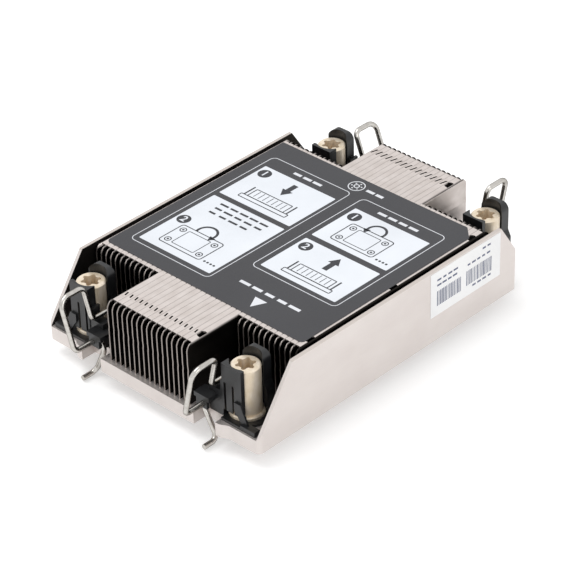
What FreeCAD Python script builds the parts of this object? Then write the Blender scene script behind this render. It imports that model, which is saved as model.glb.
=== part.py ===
"""Passive low-profile server heatsink: folded fin stack on a channel base,
with four captive nuts, their retainers and four swinging anti-tilt wires.

Millimetres. +Z is up, +Y is the way the air flows, +X is to the right seen from
the air inlet. The origin is the middle of the nut pattern, on the face that touches
the chip. Every section below is drawn from the underside of the channel base, and
save() lifts each piece by the thickness of the contact plate.
"""
import FreeCAD, Part
import math
import os

V = FreeCAD.Vector
os.makedirs("parts", exist_ok=True)
cut_over = 1.0                # cutting tools reach this far past what they cut

# ---------------------------------------------------------------- nut pattern
nut_pitch_x = 56.8            # mounting stud pattern across the airflow
nut_pitch_y = 93.0            # mounting stud pattern along the airflow

# --------------------------------------------------------------- channel base
channel_width = 78.0
wall_thickness = 1.0
base_thickness = 4.1
wall_over_fins = 0.05         # the side walls stand this much above the fin tops
front_corner_reach = 6.9      # front edge of the base beyond the front nuts
back_wall_reach = 0.7         # the side walls end this far beyond the back nuts
front_slope_run = 12.9        # the walls rise from the base over this length
back_slope_run = 6.8
back_slope_drop = 10.2
front_corner_radius = 1.5
back_corner_radius = 0.95
front_lip_step = 1.2          # the edge beside the wire notch stands this far out
s_curve_run = 3.6             # length of the edge's curved step
lip_land = 0.8                # straight land between notch and curved step
back_lobe_side = 6.2          # half width of the base round a back nut
back_lobe_radius = 5.3
notch_outboard = 3.6          # wire notch, from the nut's axis towards the centre
notch_inboard = 11.2
notch_depth = 2.2             # notch wall behind the plane of the wire's foot
tongue_overhang = 2.6         # middle tongue beyond the plane of the wire's foot
back_lobe_overhang = 1.25

# ---------------------------------------------------- contact plate, heat pipes
plate_width = 52.0
plate_length = 72.0
plate_thickness = 4.5
plate_corner_radius = 3.0
plate_edge_chamfer = 0.6
pipe_count = 3
pipe_pitch = 11.0
pipe_width = 7.0
pipe_height = 2.5
pipe_shoulder = 0.9           # bevel of the pipe's upper edges
pipe_end_inset = 7.0          # from the tongue's edge to the pipe's rounded end
solder_gap = 0.03

# ------------------------------------------------------------------ fin stack
fin_pitch = 1.822
fin_thickness = 0.4
fin_height = 18.14            # from the base to the top of the folded flanges
fin_fold_radius = 0.9         # outer radius of the top fold
fin_middle_face = 0.15        # outer face of the middle fin, from the base's middle
fin_flange_tuck = 0.13        # top flange ends this far over its neighbour's fold
fin_foot_gap = 0.35           # bottom flange stops this far short of its neighbour
fin_bead_offset = 0.12        # stiffening bead pressed along the fin
fin_bead_height = 10.6        # centre of the bead above the base
fin_bead_half = 1.3
fin_setback = 2.1             # flanges stop this far inside the webs' rounded ends
fin_wall_gap = 0.7            # least gap between the stack and the side walls
long_fin_spare = 2.3          # least gap between the long fins and the retainers
long_fin_inset = 1.45         # long fins start this far inside the tongue's ends
short_fin_front = 9.6         # short fins start this far behind the front nuts
short_fin_back = 8.4          # and end this far before the back nuts
lock_inset = 6.2              # outer interlock row, from the ends of the fins
lock_width = 0.5              # interlock window in a flange
lock_reach = 1.15             # its centre, from the fin's outer face
lock_front_length = 1.5
lock_front_slant = -0.3       # outwards from its front end to its back end
lock_back_length = 2.3
lock_back_slant = 0.6
relief_radius = 1.4           # rounded relief in the last fin of a row
relief_reach = 0.8

# ----------------------------------------------------------------------- nuts
nut_radius = 3.95
nut_flange_radius = 4.75
nut_flange_height = 1.0
nut_height = 14.65            # flange underside to the top
nut_shank_radius = 3.2
nut_shank_end = 0.6           # shank ends this far above the base's underside
running_gap = 0.05            # shank and wire in their holes
nut_edge_chamfer = 0.3
drive_lobes = 6               # lobed driver recess
drive_lobe_radius = 2.75      # at the lobes
drive_root_radius = 1.95      # and between them
drive_lobe_angle = 13.0       # half width of a lobe, in degrees
drive_depth = 8.0
thread_radius = 1.65
thread_length = 8.4

# ------------------------------------------------------------------ retainers
ring_thickness = 0.85
ring_radius = 6.2
nut_clearance = 0.3           # nut to the hollow side of the arms and to the floor
low_arm_face = 4.9            # outer face of the low arm from the nut's axis
low_arm_left = 3.9
low_arm_right = 3.0
low_arm_prong = 2.2           # the left end wraps back to here
low_arm_thin = 3.7            # the right end's inner face
low_arm_rise = 0.95           # top of the low arm above the nut
low_arm_floor = 1.65          # bottom of its ribs above the ring
arm_slot_width = 0.75
arm_slot_drop = 5.5           # slots start this far below the arm's top
arm_slot_left = -2.83         # slot centres from the nut's axis
arm_slot_mid = 0.0
arm_leg_width = 2.2
toe_near = 3.5                # toe block from the nut's axis, near and far end
toe_far = 8.5
toe_inset = 0.6               # from the base's front edge
toe_web_inboard = 3.2         # the toe's floor, from the nut's axis to the notch
toe_depth = 2.0
toe_height = 1.5
tall_arm_face = 5.5
tall_arm_inner = 2.6
tall_arm_half = 3.6
tall_arm_rise = 2.5           # top of the tall arm above the nut
tall_arm_round = 2.1          # radius of its top corners
tall_arm_flare = 1.0          # it widens by this at its root
tall_arm_flare_top = 9.0      # the widening starts this far above the ring
holder_outboard = 3.9         # wire holder, from the nut's axis towards the centre
holder_inboard = 8.8
holder_depth = 3.0
saddle_drop = 0.35            # saddle floor below the wire's lowest sweep
saddle_lip = 0.8
saddle_lip_rise = 3.3
clip_outboard = 5.8           # roof over the wire's pivot, from the nut's axis
clip_inboard = 11.1
clip_thickness = 1.3
roof_root = 1.0               # the roof runs this far into the holder
clip_ear_length = 1.05
clip_ear_inboard = 2.4        # the ear, from the pivot towards the centre
clip_ear_outboard = 1.35
clip_ear_floor = 0.65         # wall of the ear below the pivot hole

# ----------------------------------------------------------- anti-tilt wires
wire_radius = 0.75
wire_pivot_inset = 7.96       # pivot, from the nut's axis towards the centre
wire_pivot_height = 2.8       # pivot above the retainer's ring
wire_front_gap = 0.3          # inner leg clear of the low arm's face
wire_back_gap = 0.9           # inner leg clear of the tall arm's face
wire_loop_length = 8.15       # inner leg to outer leg
wire_foot_shift = 0.2         # the foot's plane, from the inner leg towards the nut
wire_height = 14.8            # pivot to the top bar
wire_catch_height = 5.52      # pivot to the catch bar that rests in the saddle
wire_catch_length = 5.7
wire_foot_reach = 5.03        # foot, out from the pivot in the wire's own plane
wire_foot_lift = 2.15         # the foot stays this far above the plate's underside
wire_knee_in = 1.4            # the foot first bows inwards to here
wire_knee_drop = 3.1
wire_hook_length = 4.9
wire_clear = 0.35             # free space kept round the moving wire
wire_most_lean = 25.0         # degrees outboard at the end of the swing
wire_lean = {                 # degrees outboard as it stands
    "front_left": 17.3,
    "front_right": 13.5,
    "back_left": 21.1,
    "back_right": 10.5,
}
top_outer_bend = 2.9          # centre-line bend radii
top_inner_bend = 1.7
low_bend = 1.4
crank_bend = 1.0
knee_bend = 2.2
hook_bend = 2.2

# -------------------------------------------------------------------- labels
film_thickness = 0.1
label_left_margin = 1.2       # from the edges of the deck that the flanges make
label_right_margin = 1.93
label_front_margin = 2.4
label_back_margin = 1.3
label_corner_radius = 3.0
label_chamfer = 3.8
sticker_length = 28.4
sticker_height = 13.6
sticker_back_inset = 0.4      # from the end of the wall's straight top
sticker_top_inset = 0.7

# ------------------------------------------------------------- derived places
nut_x = nut_pitch_x / 2
nut_front_y = -nut_pitch_y / 2
nut_back_y = nut_pitch_y / 2
half_width = channel_width / 2
wall_front_y = nut_front_y - front_corner_reach
wall_back_y = nut_back_y + back_wall_reach
fin_top_z = base_thickness + fin_height
wall_top_z = fin_top_z + wall_over_fins
ring_top_z = base_thickness + ring_thickness
nut_top_z = ring_top_z + running_gap + nut_height
pivot_x = nut_x - wire_pivot_inset
pivot_z = ring_top_z + wire_pivot_height
foot_drop = pivot_z + plate_thickness - wire_foot_lift
clip_reach = nut_x - clip_inboard
bore_radius = nut_shank_radius + running_gap
arm_hollow_radius = nut_radius + nut_clearance
corners = {
    "front_left": (-1, -1),
    "front_right": (1, -1),
    "back_left": (-1, 1),
    "back_right": (1, 1),
}


def inner_leg_y(end):
    """Plane of the wire's inner leg, nearest to the nut: end is -1 front, 1 back."""
    if end < 0:
        return nut_front_y - low_arm_face - wire_front_gap - wire_radius
    return nut_back_y + tall_arm_face + wire_back_gap + wire_radius


def foot_y(end):
    """Plane of the wire's foot."""
    return inner_leg_y(end) - end * wire_foot_shift


tongue_front_y = foot_y(-1) - tongue_overhang
tongue_back_y = foot_y(1) + tongue_overhang
short_front_y = nut_front_y + short_fin_front
short_back_y = nut_back_y - short_fin_back
long_front_y = tongue_front_y + long_fin_inset
long_back_y = tongue_back_y - long_fin_inset
wall_top_front_y = wall_front_y + front_slope_run
wall_top_back_y = wall_back_y - back_slope_run

# fins are counted outwards from the middle one, which is number middle_fin
long_each_side = int((clip_reach - long_fin_spare) / fin_pitch)
side_room = half_width - wall_thickness - fin_wall_gap - fin_middle_face
middle_fin = int(side_room / fin_pitch)
fin_count = 2 * middle_fin + 1
stack_right_x = fin_middle_face + middle_fin * fin_pitch
stack_left_x = fin_middle_face - middle_fin * fin_pitch - fin_fold_radius


# --------------------------------------------------------------------- tools
def box(x0, x1, y0, y1, z0, z1):
    """Block between two corners given in any order."""
    low = V(min(x0, x1), min(y0, y1), min(z0, z1))
    return Part.makeBox(abs(x1 - x0), abs(y1 - y0), abs(z1 - z0), low)


def cylinder(x, y, z0, z1, radius):
    return Part.makeCylinder(radius, z1 - z0, V(x, y, z0))


def outline_wire(steps):
    """Closed wire: a step is a point, or a pair (through, to) for an arc."""
    start = steps[0]
    here = start
    edges = []
    for step in steps[1:] + [start]:
        if isinstance(step, tuple):
            through, to = step
            edges.append(Part.Arc(here, through, to).toShape())
        else:
            to = step
            if here.distanceToPoint(to) > 1e-6:
                edges.append(Part.LineSegment(here, to).toShape())
        here = to
    return Part.Wire(edges)


def prism(steps, direction):
    return Part.Face(outline_wire(steps)).extrude(direction)


def corner_arc(centre, radius, from_deg, to_deg, z=0.0):
    """Arc step in the XY plane about a centre, from one angle to another."""
    mid = math.radians((from_deg + to_deg) / 2)
    end = math.radians(to_deg)
    cx, cy = centre
    through = V(cx + radius * math.cos(mid), cy + radius * math.sin(mid), z)
    to = V(cx + radius * math.cos(end), cy + radius * math.sin(end), z)
    return through, to


def fuse(first, *others):
    return first.multiFuse(list(others)).removeSplitter()


def mirror_x(steps):
    """The same outline steps on the other side of the YZ plane, walked backwards."""
    points = []
    for step in steps:
        points.append(step if isinstance(step, tuple) else (None, step))
    flipped = []
    previous_through = None
    for through, to in reversed(points):
        here = V(-to.x, to.y, to.z)
        if previous_through is None:
            flipped.append(here)
        else:
            arc_mid = V(-previous_through.x, previous_through.y, previous_through.z)
            flipped.append((arc_mid, here))
        previous_through = through
    return flipped


def one_solid(shape, name):
    """Unwrap a shape that must be a single valid solid."""
    if len(shape.Solids) != 1 or not shape.isValid():
        raise ValueError(f"{name}: {len(shape.Solids)} solids, valid {shape.isValid()}")
    return shape.Solids[0]


# -------------------------------------------------------------- channel base
def base_outline():
    """Right half of the plan, from the middle of the front to the back."""
    lip_y = wall_front_y - front_lip_step
    notch_in = nut_x - notch_inboard
    notch_out = nut_x - notch_outboard
    notch_front_y = foot_y(-1) + notch_depth
    notch_back_y = foot_y(1) - notch_depth
    step_x = notch_out + lip_land
    step_radius = (s_curve_run ** 2 + front_lip_step ** 2) / (4 * front_lip_step)
    half_turn = math.asin(s_curve_run / 2 / step_radius) / 2
    sag_x = step_radius * math.sin(half_turn)
    sag_y = step_radius * (1 - math.cos(half_turn))
    mid = V(step_x + s_curve_run / 2, (lip_y + wall_front_y) / 2, 0)
    end = V(step_x + s_curve_run, wall_front_y, 0)
    corner = (half_width - front_corner_radius, wall_front_y + front_corner_radius)
    back_corner = (half_width - back_corner_radius, wall_back_y - back_corner_radius)
    lobe_x = nut_x + back_lobe_side
    lobe_y = foot_y(1) + back_lobe_overhang
    lobe = (lobe_x - back_lobe_radius, lobe_y - back_lobe_radius)
    steps = [
        V(notch_in, tongue_front_y, 0),
        V(notch_in, notch_front_y, 0),
        V(notch_out, notch_front_y, 0),
        V(notch_out, lip_y, 0),
        V(step_x, lip_y, 0),
        (V(step_x + sag_x, lip_y + sag_y, 0), mid),
        (V(end.x - sag_x, wall_front_y - sag_y, 0), end),
        V(corner[0], wall_front_y, 0),
        corner_arc(corner, front_corner_radius, -90, 0),
        V(half_width, back_corner[1], 0),
        corner_arc(back_corner, back_corner_radius, 0, 90),
        V(lobe_x, wall_back_y, 0),
        V(lobe_x, lobe[1], 0),
        corner_arc(lobe, back_lobe_radius, 0, 90),
        V(notch_out, lobe_y, 0),
        V(notch_out, notch_back_y, 0),
        V(notch_in, notch_back_y, 0),
        V(notch_in, tongue_back_y, 0),
    ]
    return steps


def heat_pipe_body(x, grow):
    """Flattened pipe with rounded ends, lying along Y and flush with z = 0."""
    half = pipe_width / 2 + grow
    top = pipe_height + grow
    front = tongue_front_y + pipe_end_inset - grow
    back = tongue_back_y - pipe_end_inset + grow
    steps = [
        V(x - half, front + half, 0),
        (V(x, front, 0), V(x + half, front + half, 0)),
        V(x + half, back - half, 0),
        (V(x, back, 0), V(x - half, back - half, 0)),
    ]
    body = prism(steps, V(0, 0, top))
    upper = []
    for edge in body.Edges:
        if abs(edge.BoundBox.ZMin - top) < 1e-6:
            upper.append(edge)
    return body.makeChamfer(pipe_shoulder, upper)


def pipe_places():
    first = -(pipe_count - 1) / 2 * pipe_pitch
    return [first + i * pipe_pitch for i in range(pipe_count)]


def channel_base():
    right = base_outline()
    plan = right + mirror_x(right)
    block = prism(plan, V(0, 0, wall_top_z))
    floor = box(-half_width, half_width, tongue_front_y, tongue_back_y, 0, base_thickness)
    side = [
        V(-half_width, wall_front_y, 0),
        V(-half_width, wall_front_y, base_thickness),
        V(-half_width, wall_top_front_y, wall_top_z),
        V(-half_width, wall_top_back_y, wall_top_z),
        V(-half_width, wall_back_y, wall_top_z - back_slope_drop),
        V(-half_width, wall_back_y, 0),
    ]
    left_wall = prism(side, V(wall_thickness, 0, 0))
    right_wall = left_wall.mirror(V(0, 0, 0), V(1, 0, 0))
    base = block.common(fuse(floor, left_wall, right_wall))
    for side_sign, end in corners.values():
        nut_y = nut_front_y if end < 0 else nut_back_y
        hole = cylinder(side_sign * nut_x, nut_y, -cut_over, base_thickness + cut_over, bore_radius)
        base = base.cut(hole)
    for x in pipe_places():
        base = base.cut(heat_pipe_body(x, solder_gap))
    return one_solid(base.removeSplitter(), "channel_base")


def contact_plate():
    middle = (tongue_front_y + tongue_back_y) / 2
    plate = box(-plate_width / 2, plate_width / 2, middle - plate_length / 2,
                middle + plate_length / 2, -plate_thickness, 0)
    upright = [e for e in plate.Edges if abs(e.BoundBox.ZLength - plate_thickness) < 1e-6]
    plate = plate.makeFillet(plate_corner_radius, upright)
    rim = [e for e in plate.Edges if e.BoundBox.ZMax < -plate_thickness + 1e-6]
    return one_solid(plate.makeChamfer(plate_edge_chamfer, rim), "contact_plate")


# ------------------------------------------------------------------ fin stack
def fin_profile(x, flange_end, foot_end, y):
    """Section of one folded fin: foot flange, beaded web, top fold and flange.

    x is the web's outer face; both flanges point to the left.
    """
    t = fin_thickness
    z0 = base_thickness
    z1 = fin_top_z
    outer = fin_fold_radius
    inner = fin_fold_radius - t
    bead = z0 + fin_bead_height
    centre = V(x - outer, y, z1 - outer)
    slant = math.sqrt(0.5)
    outer_mid = centre + V(outer * slant, 0, outer * slant)
    inner_mid = centre + V(inner * slant, 0, inner * slant)
    return [
        V(x, y, z0),
        V(x, y, bead - fin_bead_half),
        V(x + fin_bead_offset, y, bead),
        V(x, y, bead + fin_bead_half),
        V(x, y, z1 - outer),
        (outer_mid, V(x - outer, y, z1)),
        V(flange_end, y, z1),
        V(flange_end, y, z1 - t),
        V(x - outer, y, z1 - t),
        (inner_mid, V(x - t, y, z1 - outer)),
        V(x - t, y, bead + fin_bead_half),
        V(x - t + fin_bead_offset, y, bead),
        V(x - t, y, bead - fin_bead_half),
        V(x - t, y, z0 + t),
        V(foot_end, y, z0 + t),
        V(foot_end, y, z0),
    ]


def web_corner(x, y, end):
    """What is cut away to round a web's top corner; end is -1 front, 1 back."""
    r = fin_setback
    z = fin_top_z
    left = x - fin_pitch
    slant = r * math.sqrt(0.5)
    steps = [
        V(left, y, z - r),
        (V(left, y - end * (r - slant), z - r + slant), V(left, y - end * r, z)),
        V(left, y - end * r, z + cut_over),
        V(left, y + end * cut_over, z + cut_over),
        V(left, y + end * cut_over, z - r),
    ]
    return prism(steps, V(fin_pitch + cut_over, 0, 0))


def lock_window(x, y, length, slant):
    """Slanted slot where the neighbour's tab locks into a flange."""
    middle = V(x - lock_reach, y, fin_top_z - fin_fold_radius)
    along = V(slant / 2, length / 2, 0)
    across = V(lock_width / 2, 0, 0)
    near = middle - along
    far = middle + along
    steps = [near - across, near + across, far + across, far - across]
    return prism(steps, V(0, 0, fin_fold_radius + cut_over))


def lock_relief(x, y):
    """Rounded relief of a row's last fin, as far as its web."""
    z_low = fin_top_z - fin_fold_radius
    z_high = fin_top_z + cut_over
    disc = cylinder(x - relief_reach, y, z_low, z_high, relief_radius)
    web_side = box(x - fin_thickness, x + fin_pitch, y - fin_pitch, y + fin_pitch, z_low, z_high)
    return disc.cut(web_side)


def fin(index):
    """Folded fin number index, with the interlock openings that it shows."""
    step = index - middle_fin
    x = fin_middle_face + step * fin_pitch
    is_long = abs(step) <= long_each_side
    front = long_front_y if is_long else short_front_y
    back = long_back_y if is_long else short_back_y
    flange_end = x - fin_pitch - fin_flange_tuck
    foot_end = x - fin_pitch + fin_foot_gap
    if index == 0:
        flange_end = x - fin_fold_radius
        foot_end = flange_end
    shape = prism(fin_profile(x, flange_end, foot_end, front), V(0, back - front, 0))

    # the first long fin has flanges only where it has a neighbour to lock into
    alone = step == -long_each_side
    flange_front = (short_front_y if alone else front) + fin_setback
    flange_back = (short_back_y if alone else back) - fin_setback
    for y, y_flange in ((front - cut_over, flange_front), (back + cut_over, flange_back)):
        shape = shape.cut(box(flange_end - cut_over, x - fin_thickness, y, y_flange,
                              base_thickness - cut_over, fin_top_z + cut_over))
    shape = shape.cut(web_corner(x, front, -1)).cut(web_corner(x, back, 1))

    outer_rows = [front + lock_inset, back - lock_inset]
    if step == long_each_side:
        openings = [lock_relief(x, y) for y in outer_rows]
    elif step == middle_fin:
        openings = [lock_relief(x, y) for y in outer_rows + [(front + back) / 2]]
    elif is_long and not alone:
        openings = [
            lock_window(x, outer_rows[0], lock_front_length, lock_front_slant),
            lock_window(x, outer_rows[1], lock_back_length, lock_back_slant),
        ]
    else:
        openings = []
    for opening in openings:
        shape = shape.cut(opening)
    return one_solid(shape, f"fin_{index + 1:02d}")


# ----------------------------------------------------------------------- nuts
def drive_recess(x, y):
    """Six-lobe driver recess sunk into the top of a nut."""
    def point(radius, degrees):
        angle = math.radians(degrees)
        floor = nut_top_z - drive_depth
        return V(x + radius * math.cos(angle), y + radius * math.sin(angle), floor)

    flank = (drive_lobe_radius * 2 + drive_root_radius) / 3
    lobe_step = 360 / drive_lobes
    steps = [point(flank, -drive_lobe_angle)]
    for lobe in range(drive_lobes):
        at = lobe_step * lobe
        root_end = at + lobe_step - drive_lobe_angle
        steps.append((point(drive_lobe_radius, at), point(flank, at + drive_lobe_angle)))
        steps.append((point(drive_root_radius, at + lobe_step / 2), point(flank, root_end)))
    return prism(steps, V(0, 0, drive_depth + cut_over))


def nut(corner):
    side, end = corners[corner]
    x = side * nut_x
    y = nut_front_y if end < 0 else nut_back_y
    seat = ring_top_z + running_gap
    section = [
        V(0, 0, nut_shank_end),
        V(nut_shank_radius - nut_edge_chamfer, 0, nut_shank_end),
        V(nut_shank_radius, 0, nut_shank_end + nut_edge_chamfer),
        V(nut_shank_radius, 0, seat),
        V(nut_flange_radius, 0, seat),
        V(nut_flange_radius, 0, seat + nut_flange_height - nut_edge_chamfer),
        V(nut_flange_radius - nut_edge_chamfer, 0, seat + nut_flange_height),
        V(nut_radius, 0, seat + nut_flange_height),
        V(nut_radius, 0, nut_top_z - nut_edge_chamfer),
        V(nut_radius - nut_edge_chamfer, 0, nut_top_z),
        V(0, 0, nut_top_z),
    ]
    body = Part.Face(outline_wire(section)).revolve(V(0, 0, 0), V(0, 0, 1), 360)
    body.translate(V(x, y, 0))
    thread_top = nut_shank_end + thread_length
    thread = cylinder(x, y, nut_shank_end - cut_over, thread_top, thread_radius)
    return one_solid(body.cut(drive_recess(x, y)).cut(thread), f"nut_{corner}")


# ------------------------------------------------------------------ retainers
def retainer(corner):
    """Plastic ring on the base with two arms round the nut and the wire's holder.

    Built for the right side with the nut's axis at x = nut_x; the left is its mirror.
    """
    side, end = corners[corner]
    ny = nut_front_y if end < 0 else nut_back_y
    z0 = base_thickness
    foot = foot_y(end)
    ring = cylinder(nut_x, ny, z0, ring_top_z, ring_radius)

    # tall arm on the outlet side, hollowed round the nut
    top = nut_top_z + tall_arm_rise
    wide = tall_arm_half + tall_arm_flare
    flare_z = ring_top_z + tall_arm_flare_top
    inner_y = ny + tall_arm_inner
    shoulder = tall_arm_round * (1 - math.sqrt(0.5))
    half = tall_arm_half
    tall = prism([
        V(nut_x - wide, inner_y, z0),
        V(nut_x - wide, inner_y, flare_z - 2 * tall_arm_flare),
        V(nut_x - half, inner_y, flare_z),
        V(nut_x - half, inner_y, top - tall_arm_round),
        (V(nut_x - half + shoulder, inner_y, top - shoulder),
         V(nut_x - half + tall_arm_round, inner_y, top)),
        V(nut_x + half - tall_arm_round, inner_y, top),
        (V(nut_x + half - shoulder, inner_y, top - shoulder),
         V(nut_x + half, inner_y, top - tall_arm_round)),
        V(nut_x + half, inner_y, flare_z),
        V(nut_x + wide, inner_y, flare_z - 2 * tall_arm_flare),
        V(nut_x + wide, inner_y, z0),
    ], V(0, tall_arm_face - tall_arm_inner, 0))

    # low arm on the inlet side: a flat face with a prong at its outer end
    low_top = nut_top_z + low_arm_rise
    rib_floor = ring_top_z + low_arm_floor
    left = nut_x - low_arm_left
    right = nut_x + low_arm_right
    low = prism([
        V(left, ny - low_arm_face, rib_floor),
        V(right, ny - low_arm_face, rib_floor),
        V(right, ny - low_arm_thin, rib_floor),
        V(nut_x, ny - low_arm_thin, rib_floor),
        V(nut_x, ny - low_arm_prong, rib_floor),
        V(left, ny - low_arm_prong, rib_floor),
    ], V(0, 0, low_top - rib_floor))
    slot_top = low_top - arm_slot_drop
    for centre in (arm_slot_left, arm_slot_mid):
        low = low.cut(box(nut_x + centre - arm_slot_width / 2, nut_x + centre + arm_slot_width / 2,
                          ny - low_arm_face - cut_over, ny, rib_floor - cut_over, slot_top))

    # leg from the low arm to a toe block beside the wall
    toe_y = ny - front_corner_reach + toe_inset
    leg_top = rib_floor + arm_leg_width
    leg = prism([
        V(right - arm_leg_width, ny - low_arm_face, leg_top + arm_leg_width),
        V(right, ny - low_arm_face, leg_top + arm_leg_width),
        V(nut_x + toe_near + arm_leg_width, ny - low_arm_face, ring_top_z),
        V(nut_x + toe_near + arm_leg_width, ny - low_arm_face, z0),
        V(nut_x + toe_near, ny - low_arm_face, z0),
        V(nut_x + toe_near, ny - low_arm_face, ring_top_z),
        V(right - arm_leg_width, ny - low_arm_face, leg_top),
    ], V(0, -(tall_arm_face - low_arm_face), 0))
    toe = box(nut_x + toe_near, nut_x + toe_far, toe_y, toe_y + toe_depth, z0, z0 + toe_height)
    toe_web = box(nut_x - toe_web_inboard, nut_x + toe_far, toe_y, ny - low_arm_thin,
                  z0, ring_top_z)

    # holder for the wire's catch bar, with a saddle that the bar sweeps over
    block_face = foot - end * (wire_radius + wire_clear)
    block_back = block_face - end * holder_depth
    sweep = math.radians(wire_most_lean)
    saddle_z = pivot_z + wire_catch_height * math.cos(sweep) - wire_radius - saddle_drop
    block = box(nut_x - holder_inboard, nut_x - holder_outboard, block_face, block_back, z0, saddle_z)
    lip = box(nut_x - holder_outboard - saddle_lip, nut_x - holder_outboard,
              block_face, block_back, z0, saddle_z + saddle_lip_rise)

    # roof over the pivot, with an ear that the wire turns in
    roof_z = pivot_z + wire_radius + wire_clear
    ear_back = foot + end * (crank_bend + running_gap)
    ear_front = ear_back + end * clip_ear_length
    roof = box(nut_x - clip_inboard, nut_x - clip_outboard, ear_front,
               block_face - end * roof_root, roof_z, roof_z + clip_thickness)
    ear = box(pivot_x - clip_ear_inboard, pivot_x + clip_ear_outboard, ear_front, ear_back,
              pivot_z - wire_radius - clip_ear_floor, roof_z + clip_thickness)

    parts = [tall, low, block, lip, roof, ear]
    if end < 0:
        parts += [leg, toe, toe_web]
    else:
        root = box(right - arm_leg_width, right, ny - low_arm_face, ny - low_arm_thin, z0, leg_top)
        parts.append(root)
    body = fuse(ring, *parts)
    body = body.cut(cylinder(nut_x, ny, z0 - cut_over, ring_top_z + cut_over, bore_radius))
    body = body.cut(cylinder(nut_x, ny, ring_top_z, top + cut_over, arm_hollow_radius))
    flange_room = nut_flange_radius + nut_clearance
    body = body.cut(cylinder(nut_x, ny, ring_top_z, rib_floor, flange_room))
    hole_start = V(pivot_x, ear_front + end * cut_over, pivot_z)
    hole_depth = clip_ear_length + 2 * cut_over
    hole = Part.makeCylinder(wire_radius + running_gap, hole_depth, hole_start, V(0, -end, 0))
    body = body.cut(hole).removeSplitter()
    if side < 0:
        body = body.mirror(V(0, 0, 0), V(1, 0, 0))
    return one_solid(body, f"retainer_{corner}")


# ----------------------------------------------------------- anti-tilt wires
def rounded_path(points, radii):
    """Straight runs joined by tangent arcs, one radius for each inner point."""
    edges = []
    here = points[0]
    for before, corner, after, radius in zip(points, points[1:], points[2:], radii):
        back = (before - corner).normalize()
        ahead = (after - corner).normalize()
        half = math.acos(max(-1, min(1, back.dot(ahead)))) / 2
        reach = radius / math.tan(half)
        start = corner + back * reach
        stop = corner + ahead * reach
        inward = (back + ahead).normalize()
        middle = corner + inward * (radius / math.sin(half) - radius)
        edges.append(Part.LineSegment(here, start).toShape())
        edges.append(Part.Arc(start, middle, stop).toShape())
        here = stop
    edges.append(Part.LineSegment(here, points[-1]).toShape())
    return Part.Wire(edges)


def wire(corner):
    """One bent wire: catch bar, finger loop, pivot bar, bowed foot and hook."""
    side, end = corners[corner]
    inner = inner_leg_y(end)
    outer = inner + end * wire_loop_length
    foot = foot_y(end)
    points = [
        V(0, inner - end * wire_catch_length, wire_catch_height),
        V(0, inner, wire_catch_height),
        V(0, inner, wire_height),
        V(0, outer, wire_height),
        V(0, outer, 0),
        V(0, foot, 0),
        V(-side * wire_knee_in, foot, -wire_knee_drop),
        V(side * wire_foot_reach, foot, -foot_drop),
        V(side * wire_foot_reach, foot + end * wire_hook_length, -foot_drop),
    ]
    bends = [low_bend, top_inner_bend, top_outer_bend, low_bend, crank_bend, knee_bend, hook_bend]
    path = rounded_path(points, bends)
    section = Part.Face(Part.Wire(Part.makeCircle(wire_radius, points[0], V(0, end, 0))))
    body = path.makePipe(section)
    body.rotate(V(0, 0, 0), V(0, 1, 0), side * wire_lean[corner])
    body.translate(V(side * pivot_x, 0, pivot_z))
    return one_solid(body, f"wire_{corner}")


# -------------------------------------------------------------------- labels
def top_label():
    """Film on the fin tops: two rounded front corners and one cut back corner."""
    left = stack_left_x + label_left_margin
    right = stack_right_x - label_right_margin
    front = short_front_y + fin_setback + label_front_margin
    back = short_back_y - fin_setback - label_back_margin
    r = label_corner_radius
    z = fin_top_z
    steps = [
        V(left, front + r, z),
        corner_arc((left + r, front + r), r, 180, 270, z),
        V(right - r, front, z),
        corner_arc((right - r, front + r), r, 270, 360, z),
        V(right, back - label_chamfer, z),
        V(right - label_chamfer, back, z),
        V(left, back, z),
    ]
    return one_solid(prism(steps, V(0, 0, film_thickness)), "top_label")


def side_sticker():
    back = wall_top_back_y - sticker_back_inset
    top = wall_top_z - sticker_top_inset
    shape = box(half_width, half_width + film_thickness, back - sticker_length, back,
                top - sticker_height, top)
    return one_solid(shape, "side_sticker")


# --------------------------------------------------------------------- export
def save(name, shape):
    shape.translate(V(0, 0, plate_thickness))
    shape.exportStep(f"parts/{name}.step")


save("channel_base", channel_base())
save("contact_plate", contact_plate())
for number, place in enumerate(pipe_places(), start=1):
    save(f"heat_pipe_{number}", one_solid(heat_pipe_body(place, 0.0), f"heat_pipe_{number}"))
for number in range(fin_count):
    save(f"fin_{number + 1:02d}", fin(number))
for corner_name in corners:
    save(f"nut_{corner_name}", nut(corner_name))
    save(f"retainer_{corner_name}", retainer(corner_name))
    save(f"wire_{corner_name}", wire(corner_name))
save("top_label", top_label())
save("side_sticker", side_sticker())
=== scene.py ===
import math

import bmesh
import bpy
from mathutils import Matrix, Vector


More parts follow.
